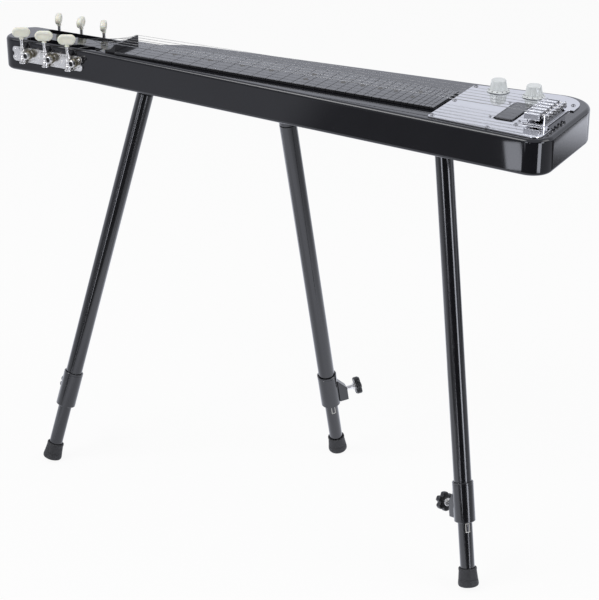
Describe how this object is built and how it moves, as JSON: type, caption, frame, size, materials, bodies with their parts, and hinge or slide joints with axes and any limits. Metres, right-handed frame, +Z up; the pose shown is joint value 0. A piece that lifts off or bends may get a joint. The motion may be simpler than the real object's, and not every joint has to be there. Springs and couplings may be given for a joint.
{
  "type": "lap steel guitar",
  "caption": "Slim lap steel guitar with a black body, chrome control plate and geared tuners, standing on screw-in telescopic legs with clamp screws and rubber feet.",
  "frame": {"origin": "on the floor below the middle of the bounding box", "axes": "+X along the strings from the head to the tail, +Y away from the player, +Z up"},
  "size_m": [0.8076, 0.2586, 0.5905],
  "materials": {
    "black_lacquer": "high-gloss black lacquer over wood",
    "board_print": "glossy black board with printed fret lines",
    "black_plastic": "satin black plastic",
    "chrome_plating": "mirror chrome plating",
    "nickel_plating": "satin nickel-plated steel",
    "gear_brass": "dull brass gear on a nickel-plated steel post",
    "string_steel": "bright steel wire, the thick ones wound",
    "cream_plastic": "glossy cream plastic",
    "pale_plastic": "pale, slightly translucent glossy plastic",
    "black_tube": "glossy black enamelled steel tube",
    "black_rubber": "matt black rubber"
  },
  "bodies": {
    "guitar": {"body": "black_lacquer", "fretboard": "board_print", "nut": "black_plastic", "control_plate": "chrome_plating", "pickup": "black_plastic", "bridge_plate": "chrome_plating", "knob_pots": "nickel_plating", "output_jack": "chrome_plating", "tuner_plate_near": "nickel_plating", "tuner_plate_far": "nickel_plating", "string_1": "string_steel", "string_2": "string_steel", "string_3": "string_steel", "string_6": "string_steel", "string_5": "string_steel", "string_4": "string_steel", "upper_tube_1": "black_tube", "clamp_sleeve_1": "black_tube", "leg_socket_1": "black_tube", "upper_tube_2": "black_tube", "clamp_sleeve_2": "black_tube", "leg_socket_2": "black_tube", "upper_tube_3": "black_tube", "clamp_sleeve_3": "black_tube", "leg_socket_3": "black_tube"},
    "tuner_1": {"worm_shaft_1": "nickel_plating", "tuner_button_1": "cream_plastic"},
    "post_1": {"string_post_1": "gear_brass"},
    "tuner_2": {"worm_shaft_2": "nickel_plating", "tuner_button_2": "cream_plastic"},
    "post_2": {"string_post_2": "gear_brass"},
    "tuner_3": {"worm_shaft_3": "nickel_plating", "tuner_button_3": "cream_plastic"},
    "post_3": {"string_post_3": "gear_brass"},
    "tuner_4": {"worm_shaft_4": "nickel_plating", "tuner_button_4": "cream_plastic"},
    "post_4": {"string_post_4": "gear_brass"},
    "tuner_5": {"worm_shaft_5": "nickel_plating", "tuner_button_5": "cream_plastic"},
    "post_5": {"string_post_5": "gear_brass"},
    "tuner_6": {"worm_shaft_6": "nickel_plating", "tuner_button_6": "cream_plastic"},
    "post_6": {"string_post_6": "gear_brass"},
    "volume_control": {"volume_knob": "pale_plastic"},
    "tone_control": {"tone_knob": "pale_plastic"},
    "saddle_block_1": {"saddle_1": "chrome_plating"},
    "saddle_block_2": {"saddle_2": "chrome_plating"},
    "saddle_block_3": {"saddle_3": "chrome_plating"},
    "saddle_block_4": {"saddle_4": "chrome_plating"},
    "saddle_block_5": {"saddle_5": "chrome_plating"},
    "saddle_block_6": {"saddle_6": "chrome_plating"},
    "lower_leg_1": {"lower_tube_1": "black_tube", "foot_1": "black_rubber"},
    "clamp_1": {"clamp_screw_1": "black_plastic"},
    "lower_leg_2": {"lower_tube_2": "black_tube", "foot_2": "black_rubber"},
    "clamp_2": {"clamp_screw_2": "black_plastic"},
    "lower_leg_3": {"lower_tube_3": "black_tube", "foot_3": "black_rubber"},
    "clamp_3": {"clamp_screw_3": "black_plastic"}
  },
  "joints": [
    {"name": "tuner_1_turn", "type": "hinge", "parent": "guitar", "child": "tuner_1", "pos_m": [-0.28775, -0.01422, 0.5535], "axis": [0, 0, 1], "continuous": true},
    {"name": "post_1_turn", "type": "hinge", "parent": "guitar", "child": "post_1", "pos_m": [-0.27775, -0.01422, 0.5535], "axis": [0, 1, 0], "continuous": true},
    {"name": "tuner_2_turn", "type": "hinge", "parent": "guitar", "child": "tuner_2", "pos_m": [-0.32505, -0.01422, 0.5535], "axis": [0, 0, 1], "continuous": true},
    {"name": "post_2_turn", "type": "hinge", "parent": "guitar", "child": "post_2", "pos_m": [-0.31505, -0.01422, 0.5535], "axis": [0, 1, 0], "continuous": true},
    {"name": "tuner_3_turn", "type": "hinge", "parent": "guitar", "child": "tuner_3", "pos_m": [-0.36235, -0.01422, 0.5535], "axis": [0, 0, 1], "continuous": true},
    {"name": "post_3_turn", "type": "hinge", "parent": "guitar", "child": "post_3", "pos_m": [-0.35235, -0.01422, 0.5535], "axis": [0, 1, 0], "continuous": true},
    {"name": "tuner_4_turn", "type": "hinge", "parent": "guitar", "child": "tuner_4", "pos_m": [-0.28425, 0.06488, 0.5535], "axis": [0, 0, 1], "continuous": true},
    {"name": "post_4_turn", "type": "hinge", "parent": "guitar", "child": "post_4", "pos_m": [-0.27425, 0.06488, 0.5535], "axis": [0, 1, 0], "continuous": true},
    {"name": "tuner_5_turn", "type": "hinge", "parent": "guitar", "child": "tuner_5", "pos_m": [-0.32155, 0.06488, 0.5535], "axis": [0, 0, 1], "continuous": true},
    {"name": "post_5_turn", "type": "hinge", "parent": "guitar", "child": "post_5", "pos_m": [-0.31155, 0.06488, 0.5535], "axis": [0, 1, 0], "continuous": true},
    {"name": "tuner_6_turn", "type": "hinge", "parent": "guitar", "child": "tuner_6", "pos_m": [-0.35885, 0.06488, 0.5535], "axis": [0, 0, 1], "continuous": true},
    {"name": "post_6_turn", "type": "hinge", "parent": "guitar", "child": "post_6", "pos_m": [-0.34885, 0.06488, 0.5535], "axis": [0, 1, 0], "continuous": true},
    {"name": "volume_turn", "type": "hinge", "parent": "guitar", "child": "volume_control", "pos_m": [0.28375, 0.08608, 0.5723], "axis": [0, 0, 1], "range_deg": [-150, 150]},
    {"name": "tone_turn", "type": "hinge", "parent": "guitar", "child": "tone_control", "pos_m": [0.32975, 0.08608, 0.5723], "axis": [0, 0, 1], "range_deg": [-150, 150]},
    {"name": "saddle_1_slide", "type": "slide", "parent": "guitar", "child": "saddle_block_1", "axis": [1, 0, 0], "range_m": [-0.0015, 0.0015]},
    {"name": "saddle_2_slide", "type": "slide", "parent": "guitar", "child": "saddle_block_2", "axis": [1, 0, 0], "range_m": [-0.0015, 0.0015]},
    {"name": "saddle_3_slide", "type": "slide", "parent": "guitar", "child": "saddle_block_3", "axis": [1, 0, 0], "range_m": [-0.0015, 0.0015]},
    {"name": "saddle_4_slide", "type": "slide", "parent": "guitar", "child": "saddle_block_4", "axis": [1, 0, 0], "range_m": [-0.0015, 0.0015]},
    {"name": "saddle_5_slide", "type": "slide", "parent": "guitar", "child": "saddle_block_5", "axis": [1, 0, 0], "range_m": [-0.0015, 0.0015]},
    {"name": "saddle_6_slide", "type": "slide", "parent": "guitar", "child": "saddle_block_6", "axis": [1, 0, 0], "range_m": [-0.0015, 0.0015]},
    {"name": "leg_1_extend", "type": "slide", "parent": "guitar", "child": "lower_leg_1", "axis": [-0.1781, -0.2381, -0.9548], "range_m": [-0.058, 0.195]},
    {"name": "clamp_1_turn", "type": "hinge", "parent": "guitar", "child": "clamp_1", "pos_m": [-0.2673, -0.08423, 0.09792], "axis": [-0.582, 0.8078, -0.0929], "range_deg": [0, 720]},
    {"name": "leg_2_extend", "type": "slide", "parent": "guitar", "child": "lower_leg_2", "axis": [0.0327, 0.2088, -0.9774], "range_m": [-0.058, 0.195]},
    {"name": "clamp_2_turn", "type": "hinge", "parent": "guitar", "child": "clamp_2", "pos_m": [0.05176, 0.08951, 0.09933], "axis": [0.7043, 0.6891, 0.1707], "range_deg": [0, 720]},
    {"name": "leg_3_extend", "type": "slide", "parent": "guitar", "child": "lower_leg_3", "axis": [0.1971, -0.2159, -0.9563], "range_m": [-0.058, 0.195]},
    {"name": "clamp_3_turn", "type": "hinge", "parent": "guitar", "child": "clamp_3", "pos_m": [0.33971, -0.09588, 0.09803], "axis": [-0.8379, 0.4692, -0.2787], "range_deg": [0, 720]}
  ],
  "couplings": [
    {"joint": "post_1_turn", "follows": "tuner_1_turn", "ratio": -0.071429},
    {"joint": "post_2_turn", "follows": "tuner_2_turn", "ratio": -0.071429},
    {"joint": "post_3_turn", "follows": "tuner_3_turn", "ratio": -0.071429},
    {"joint": "post_4_turn", "follows": "tuner_4_turn", "ratio": -0.071429},
    {"joint": "post_5_turn", "follows": "tuner_5_turn", "ratio": -0.071429},
    {"joint": "post_6_turn", "follows": "tuner_6_turn", "ratio": -0.071429}
  ]
}
